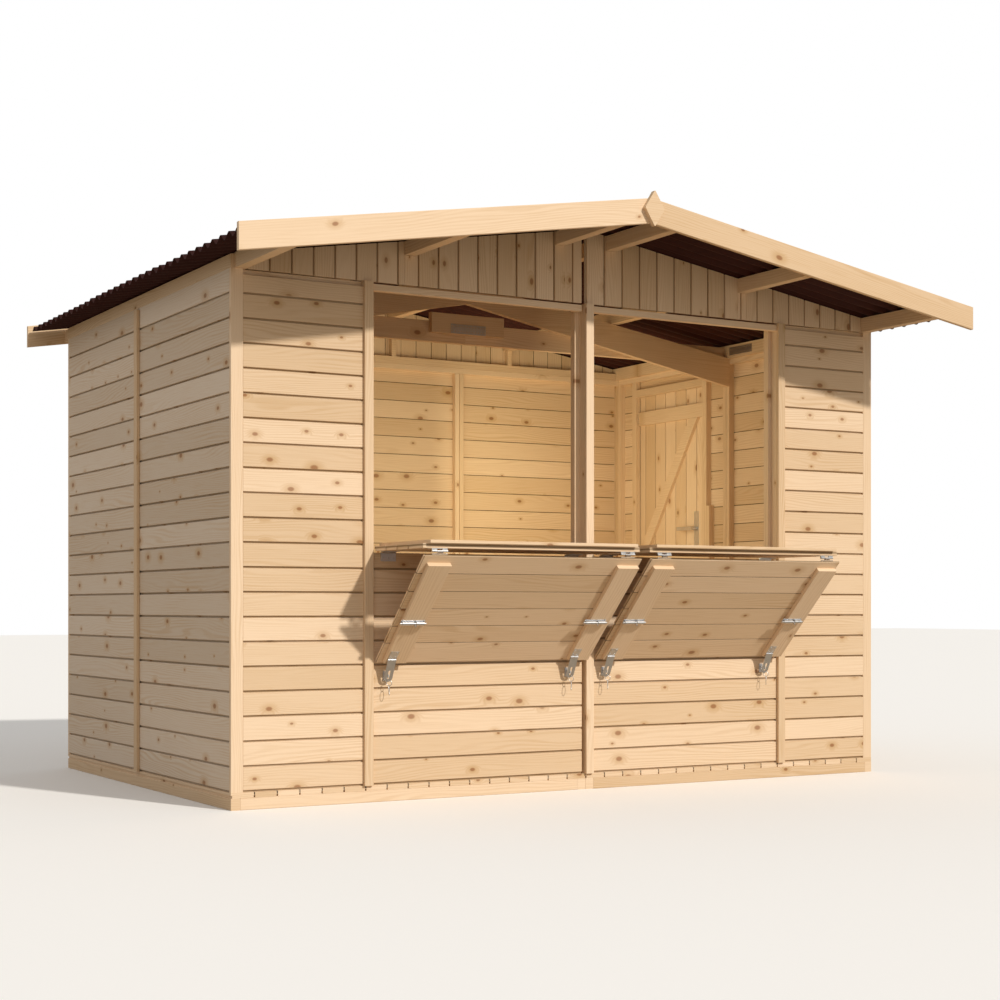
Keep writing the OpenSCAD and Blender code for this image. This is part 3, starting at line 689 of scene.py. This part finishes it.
def sheet_grid(x_side, y0, y1):
    """One corrugated sheet of a roof slope as a closed shell.

    Across the slope its height is the roof's underside, plus the sheet, plus a cosine
    wave along Y; down the slope it is straight. The lower skin is the same surface one
    sheet thickness below."""
    roof = settings()[2]
    steps_per_wave, rows = 12, 5
    ridge_gap = 0.012                   # from the ridge to the sheet's upper end
    y = np.linspace(y0, y1, int(round((y1 - y0) / roof.wave * steps_per_wave)) + 1)
    x = x_side * np.linspace(ridge_gap, SHEET_HI[0], rows)
    height = (ROOF_T - roof.sheet - CLEARANCE) / 2
    wave = height * (1 - np.cos(2 * math.pi * (y - SHEET_LO[1]) / roof.wave))
    gx, gy = np.meshgrid(x, y, indexing="ij")
    upper = roof_z(gx) + roof.sheet + wave[None, :]
    top = np.stack([gx, gy, upper], -1).reshape(-1, 3)
    low = top - Z * roof.sheet
    nx, ny = gx.shape
    index = np.arange(nx * ny).reshape(nx, ny)
    a, b, c, d = (index[:-1, :-1], index[1:, :-1], index[1:, 1:], index[:-1, 1:])
    skin = np.stack([a, b, c, d], -1).reshape(-1, 4)
    rim = np.concatenate([index[:, 0], index[-1, 1:], index[-2::-1, -1], index[0, -2:0:-1]])
    after = np.roll(rim, -1)
    edge = np.stack([rim, after, after + nx * ny, rim + nx * ny], -1)
    faces = np.vstack([skin, skin[:, ::-1] + nx * ny, edge])
    return np.vstack([top, low]), faces


def mesh_of(name, points, faces):
    """A closed mesh from arrays, with its faces turned outwards."""
    mesh = bpy.data.meshes.new(name)
    mesh.from_pydata(points, [], faces.tolist() if hasattr(faces, "tolist") else faces)
    outwards(mesh)
    return mesh


class STALL_OT_roof_sheets(bpy.types.Operator):
    """Covers both slopes with corrugated sheets that lap by one wave"""
    bl_idname = "stall.roof_sheets"
    bl_label = "Roof sheets"

    def execute(self, context):
        roof = settings()[2]
        waves = (SHEET_HI[1] - SHEET_LO[1]) / roof.wave
        sheets = 3                      # side by side on one slope
        lap = 1.0                       # waves that two neighbours share
        share = waves / sheets + 0.6    # waves of one sheet, with its share of the laps
        lift = 0.0033                   # of a sheet that lies over its neighbours
        for node, side in (("roof_left", -1), ("roof_right", 1)):
            points, faces, count = [], [], 0
            first = 0.0
            for k in range(sheets):
                last = min(waves, first + share)
                p, f = sheet_grid(side, SHEET_LO[1] + first * roof.wave,
                                  SHEET_LO[1] + last * roof.wave)
                p[:, 2] += lift * (k % 2)
                points.append(p)
                faces.append(f + count)
                count += len(p)
                first = last - lap
            mesh = mesh_of(node + "_sheets", np.vstack(points), np.vstack(faces))
            dress(mesh, node + "_sheets", node, MATERIALS["sheet"], True)
        return {"FINISHED"}


class STALL_OT_ridge_cap(bpy.types.Operator):
    """Folds the ridge cap over both slopes"""
    bl_idname = "stall.ridge_cap"
    bl_label = "Ridge cap"

    def execute(self, context):
        low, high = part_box("ridge_cap")
        thickness, roll_height, roll_width = 0.003, 0.006, 0.022
        # Height over the slopes: flat wings, with a soft roll that falls off as a bell curve
        x = np.linspace(low[0], high[0], 41)
        upper = (roof_z(x) + ROOF_T + thickness
                 + roll_height * np.exp(-(x / roll_width) ** 2))
        outline = np.vstack([np.column_stack([x, upper]),
                             np.column_stack([x, upper - thickness])[::-1]])
        timber = Timber(61)
        timber.add(outline, low[1], high[1], (0, 0, 0), Y, X, Z)
        timber.piece("ridge_cap_fold", "ridge_cap", MATERIALS["sheet"], "roofing")
        return {"FINISHED"}


class STALL_OT_bargeboards(bpy.types.Operator):
    """Planes the bargeboards and the finial"""
    bl_idname = "stall.bargeboards"
    bl_label = "Bargeboards and finial"

    def execute(self, context):
        for seed, node in enumerate(("front_bargeboards", "rear_bargeboards"), 71):
            timber = Timber(seed)
            for low, high in solids(node):
                x0, x1 = low[0], high[0]
                reach = abs(x1 - x0)
                height = (high[2] - low[2]) - ROOF_SLOPE * reach
                side = 1 if x0 + x1 > 0 else -1
                inner = x0 if side > 0 else x1
                along = X * side - Z * ROOF_SLOPE
                outline = bar(height, high[1] - low[1], 0.002)
                origin = X * inner + Y * low[1] + Z * (high[2] - height)
                timber.add(outline, 0, reach, origin, along, Z, Y)
            timber.piece(node + "_planed", node, MATERIALS["clear_pine"], "planed_pine")
        low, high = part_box("finial")
        middle, half = (low + high) / 2, (high - low) / 2
        cut = 0.004
        diamond = np.array([(0, -half[2]), (half[0], 0), (0, half[2]), (-half[0], 0)])
        outline = []
        for k in range(4):
            for other in (k - 1, (k + 1) % 4):
                step = diamond[other] - diamond[k]
                outline.append(diamond[k] + step / np.linalg.norm(step) * cut)
        timber = Timber(73)
        timber.add(np.array(outline), low[1], high[1], (middle[0], 0, middle[2]), Y, X, Z)
        timber.piece("finial_planed", "finial", MATERIALS["clear_pine"], "planed_pine")
        return {"FINISHED"}


LEAN = math.radians(45)             # lean of the hanging flaps from upright
FLAP_T = 0.013                      # thickness of a flap's boards
BATTEN_T = 0.018                    # thickness of its battens
FITTING_T = 0.002                   # thickness of the ironwork's plates
DOWN = np.array([0, math.sin(LEAN), -math.cos(LEAN)])
FACING = np.array([0, -math.cos(LEAN), -math.sin(LEAN)])


def flap_corner(node):
    """A flap's upper front corner on the left, its length and its width, from its box."""
    low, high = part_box(node)
    corner = np.array([low[0], low[1], high[2] - FLAP_T * math.sin(LEAN)])
    length = (high[1] - low[1]) / math.sin(LEAN) - FLAP_T * math.cos(LEAN) / math.sin(LEAN)
    return corner, length, high[0] - low[0]


class STALL_OT_hatches(bpy.types.Operator):
    """Boards the counters and the hanging flaps and lays the battens on the flaps"""
    bl_idname = "stall.hatches"
    bl_label = "Hatches"

    def execute(self, context):
        cover = settings()[0].cover
        for seed, side in enumerate(("left", "right")):
            timber = Timber(81 + seed)
            node = side + "_counter"
            (low, high), = solids(node)
            for y0, y1 in courses(0, high[1] - low[1], cover, 0.5):
                timber.add(clad(y1 - y0, high[2] - low[2]), low[0], high[0],
                           Y * (high[1] - y0) + Z * low[2], X, -Y, -Z)
            timber.piece(node + "_boards", node, MATERIALS["front_boards"], "pine")
            timber = Timber(83 + seed)
            node = side + "_flap"
            corner, length, width = flap_corner(node)
            for s0, s1 in courses(0, length, cover, 0.5):
                timber.add(clad(s1 - s0, FLAP_T), 0, width, corner + DOWN * s0 - FACING * FLAP_T,
                           X, DOWN, -FACING)
            timber.piece(node + "_boards", node, MATERIALS["front_boards"], "pine")
            timber = Timber(85 + seed)
            node = side + "_battens"
            for low, high in solids(node):
                reach = (high[1] - low[1] - BATTEN_T * math.cos(LEAN)) / math.sin(LEAN)
                start = np.array([low[0], low[1], low[2] + reach * math.cos(LEAN)])
                timber.add(bar(high[0] - low[0], BATTEN_T, EDGE), 0, reach, start,
                           DOWN, X, -FACING)
            timber.piece(node + "_planed", node, MATERIALS["clear_pine"], "pine")
        return {"FINISHED"}


class STALL_OT_door(bpy.types.Operator):
    """Boards the door and gives its ledges and braces their grain"""
    bl_idname = "stall.door"
    bl_label = "Door"

    def execute(self, context):
        boards = settings()[0]
        timber = Timber(91)
        (low, high), = solids("door_leaf")
        for y0, y1 in courses(low[1], high[1], boards.cover, 0.5):
            timber.add(clad(y1 - y0, high[0] - low[0]), low[2], high[2],
                       X * high[0] + Y * y0, Z, Y, X)
        timber.piece("door_leaf_boards", "door_leaf", MATERIALS["front_boards"], "pine")
        finish_node("door_ledges", MATERIALS["pine_y"])
        return {"FINISHED"}


def dome(radius, height, sides=10, rings=3):
    """A screw head: a shallow dome from a closed foot to a pole.

    The radius falls as a cosine and the height grows as a sine of the same angle."""
    angle = np.linspace(0, math.pi / 2, rings, endpoint=False)
    turn = np.linspace(0, 2 * math.pi, sides, endpoint=False)
    r, t = np.meshgrid(radius * np.cos(angle), turn, indexing="ij")
    h = np.repeat(height * np.sin(angle), sides)
    ring = np.column_stack([(r * np.cos(t)).ravel(), (r * np.sin(t)).ravel(), h])
    points = np.vstack([ring, [(0, 0, height), (0, 0, 0)]])
    index = np.arange(rings * sides).reshape(rings, sides)
    after = np.roll(index, -1, 1)
    walls = np.stack([index[:-1], after[:-1], after[1:], index[1:]], -1).reshape(-1, 4).tolist()
    top = [(index[-1, k], after[-1, k], len(ring)) for k in range(sides)]
    foot = [(after[0, k], index[0, k], len(ring) + 1) for k in range(sides)]
    return points, walls + top + foot


def screws(name, body, spots):
    """Screw heads on a body: each spot is a place and the way the head faces."""
    points, faces, count = [], [], 0
    base, pattern = dome(radius=0.0038, height=0.0016)
    for place, out in spots:
        out = np.asarray(out, float)
        side = np.cross(out, X if abs(out[0]) < 0.9 else Y)
        side = side / np.linalg.norm(side)
        turned = base @ np.array([side, np.cross(out, side), out])
        points.append(turned + place)
        faces += [tuple(i + count for i in face) for face in pattern]
        count += len(base)
    mesh = mesh_of(name, np.vstack(points), faces)
    return ride_along(mesh, name, body, MATERIALS["zinc"])


def ring_mesh(centre, radius, wire, across, up, stretch=1.0, sides=8, steps=28):
    """A wire ring: a small circle carried round a large one, or round an upright ellipse."""
    big = np.linspace(0, 2 * math.pi, steps, endpoint=False)[:, None]
    small = np.linspace(0, 2 * math.pi, sides, endpoint=False)[None, :]
    out = np.cross(across, up)
    points = (centre + ((radius + wire * np.cos(small)) * np.cos(big))[..., None] * across
              + ((radius * stretch + wire * np.cos(small)) * np.sin(big))[..., None] * up
              + (wire * np.sin(small) * np.ones_like(big))[..., None] * out)
    index = np.arange(steps * sides).reshape(steps, sides)
    faces = np.stack([index, np.roll(index, -1, 0), np.roll(np.roll(index, -1, 0), -1, 1),
                      np.roll(index, -1, 1)], -1).reshape(-1, 4)
    return points.reshape(-1, 3), faces


class STALL_OT_fittings(bpy.types.Operator):
    """Gives hinges, bolts, hasps and plates their zinc, screw heads and spring clips"""
    bl_idname = "stall.fittings"
    bl_label = "Fittings"

    def execute(self, context):
        for node in ("nail_plates", "hatch_wall_fittings", "left_counter_hinges",
                     "left_flap_fittings", "right_counter_hinges", "right_flap_fittings",
                     "door_fittings", "door_hinge_plates"):
            finish_node(node, MATERIALS["zinc"])
        inset = 0.012                   # from a plate's edge to its screws
        door_plate = 0.003              # thickness of the door's hinge plates
        bolt_place = 0.323              # from a flap's upper edge to its barrel bolts
        hasp_rows = (0.072, 0.050)      # from a flap's lower edge to the hasps' screws
        wire = 0.0012                   # radius of the clips' wire
        wall = []
        for low, high in solids("hatch_wall_fittings"):
            if high[0] - low[0] < 0.03:             # a knuckle or a staple has no screws
                continue
            for share in (0.15, 0.5, 0.85):
                x = low[0] + share * (high[0] - low[0])
                wall.append((np.array([x, -WALL_Y - FITTING_T, low[2] + inset]), -Y))
        screws("sill_hinge_screws", "stall", wall)
        for side in ("left", "right"):
            spots, rings, faces, count = [], [], [], 0
            corner, length, _ = flap_corner(side + "_flap")
            face = corner * [0, 1, 1] + FACING * (BATTEN_T + FITTING_T)
            for low, high in solids(side + "_flap_fittings"):
                middle = (low[0] + high[0]) / 2
                if high[0] - low[0] < 0.04:         # a hasp
                    for across in (-0.010, 0.010):
                        for row in hasp_rows:
                            spots.append((face + X * (middle + across)
                                          + DOWN * (length - row), FACING))
                    hook = np.array([middle, high[1] - 0.016, low[2]])
                    loops = ((hook - Z * 0.004, 0.010, X * 0.8 - Y * 0.6, 1.0),
                             (hook - Z * 0.031, 0.009, X * 0.6 + Y * 0.8, 2.1))
                    for centre, radius, across, stretch in loops:
                        ring, around = ring_mesh(centre, radius, wire, across, Z, stretch)
                        rings.append(ring)
                        faces.append(around + count)
                        count += len(ring)
                elif low[1] < corner[1] + 0.30 and high[0] - low[0] > 0.09:   # a barrel bolt
                    for across in (-0.044, 0.044):
                        for row in (-0.011, 0.011):
                            spots.append((face + X * (middle + across)
                                          + DOWN * (bolt_place + row), FACING))
            screws(side + "_flap_screws", side + "_flap", spots)
            mesh = mesh_of(side + "_clips", np.vstack(rings), np.vstack(faces))
            ride_along(mesh, side + "_clips", side + "_flap", MATERIALS["zinc"])
        strap = []
        for low, high in solids("door_hinge_plates"):
            for z in (low[2] + inset, high[2] - inset):
                strap.append((np.array([WALL_X + door_plate, high[1] - inset, z]), X))
        screws("door_plate_screws", "stall", strap)
        return {"FINISHED"}


class STALL_OT_stage(bpy.types.Operator):
    """Lays the plain floor and sets the soft light and the camera"""
    bl_idname = "stall.stage"
    bl_label = "Stage"

    def execute(self, context):
        stage = settings()[3]
        mesh = bpy.data.meshes.new("stage_floor")
        reach = 40.0
        mesh.from_pydata([(-reach, -reach, 0), (reach, -reach, 0), (reach, reach, 0),
                          (-reach, reach, 0)], [], [(0, 1, 2, 3)])
        mesh.materials.append(MATERIALS["floor"])
        floor = bpy.data.objects.new("stage_floor", mesh)
        context.scene.collection.objects.link(floor)
        world = bpy.data.worlds.new("Studio")
        world.use_nodes = True
        n = Nodes(world.node_tree)
        seen = n.put("ShaderNodeLightPath").outputs["Is Camera Ray"]
        glow = (stage.sky, 0.97 * stage.sky, 0.93 * stage.sky, 1.0)
        world.node_tree.links.new(n.mix(seen, glow, (1.0, 1.0, 1.0, 1.0)),
                                  world.node_tree.nodes["Background"].inputs["Color"])
        context.scene.world = world
        sun = bpy.data.lights.new("Soft sun", "SUN")
        sun.energy = stage.sun_energy
        sun.angle = math.radians(2.5)
        sun.color = (1.0, 0.95, 0.87)
        holder = bpy.data.objects.new("Soft sun", sun)
        holder.rotation_euler = (math.radians(58.6), 0, math.radians(19.4))
        context.scene.collection.objects.link(holder)
        for name, share, size, place, turn in (
                ("Rear fill", 0.62, (2.4, 1.2), (0, 0.06, 1.25), (RIGHT_ANGLE, 0, 0)),
                ("Side fill", 0.38, (1.5, 1.0), (0.35, 0, 1.25), (RIGHT_ANGLE, 0, -RIGHT_ANGLE))):
            lamp = bpy.data.lights.new(name, "AREA")
            lamp.shape = "RECTANGLE"
            lamp.size, lamp.size_y = size
            lamp.energy = stage.inside * share
            lamp.color = (1.0, 0.89, 0.58)
            holder = bpy.data.objects.new(name, lamp)
            holder.location = place
            holder.rotation_euler = turn
            holder.visible_camera = False
            context.scene.collection.objects.link(holder)
        context.scene.view_settings.view_transform = "Standard"
        lens = bpy.data.cameras.new("Camera")
        lens.sensor_width = 36.0
        lens.lens = 63.74
        lens.shift_y = 0.10735
        camera = bpy.data.objects.new("Camera", lens)
        camera.location = (-3.924, -7.022, 0.737)
        camera.rotation_euler = (RIGHT_ANGLE, 0, -math.radians(30.325))
        context.scene.collection.objects.link(camera)
        context.scene.camera = camera
        return {"FINISHED"}


OPERATORS = (STALL_OT_stage, STALL_OT_walls, STALL_OT_gables, STALL_OT_floor_boards,
             STALL_OT_framing, STALL_OT_roof_sheets, STALL_OT_ridge_cap,
             STALL_OT_bargeboards, STALL_OT_hatches, STALL_OT_door, STALL_OT_fittings)


class STALL_PT_pieces(bpy.types.Panel):
    """Shows the settings and a button for each part of the stall"""
    bl_idname = "STALL_PT_pieces"
    bl_label = "Market stall"
    bl_space_type = "VIEW_3D"
    bl_region_type = "UI"
    bl_category = "Market stall"

    def draw(self, context):
        for group in settings():
            box = self.layout.box()
            for key in group.__annotations__:
                box.prop(group, key)
        for operator in OPERATORS:
            self.layout.operator(operator.bl_idname)


GROUPS = (("stall_boards", StallBoardSettings), ("stall_pine", StallPineSettings),
          ("stall_roof", StallRoofSettings), ("stall_stage", StallStageSettings))


def register():
    for name, group in GROUPS:
        bpy.utils.register_class(group)
        setattr(bpy.types.Scene, name, bpy.props.PointerProperty(type=group))
    for cls in (*OPERATORS, STALL_PT_pieces):
        bpy.utils.register_class(cls)


def unregister():
    for cls in (STALL_PT_pieces, *reversed(OPERATORS)):
        bpy.utils.unregister_class(cls)
    for name, group in reversed(GROUPS):
        delattr(bpy.types.Scene, name)
        bpy.utils.unregister_class(group)


def main():
    """Registers the add-on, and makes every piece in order."""
    register()
    MATERIALS.update(make_materials())
    for operator in OPERATORS:
        module, name = operator.bl_idname.split(".")
        getattr(getattr(bpy.ops, module), name)()
    bpy.context.view_layer.update()


if __name__ == "__main__":
    main()
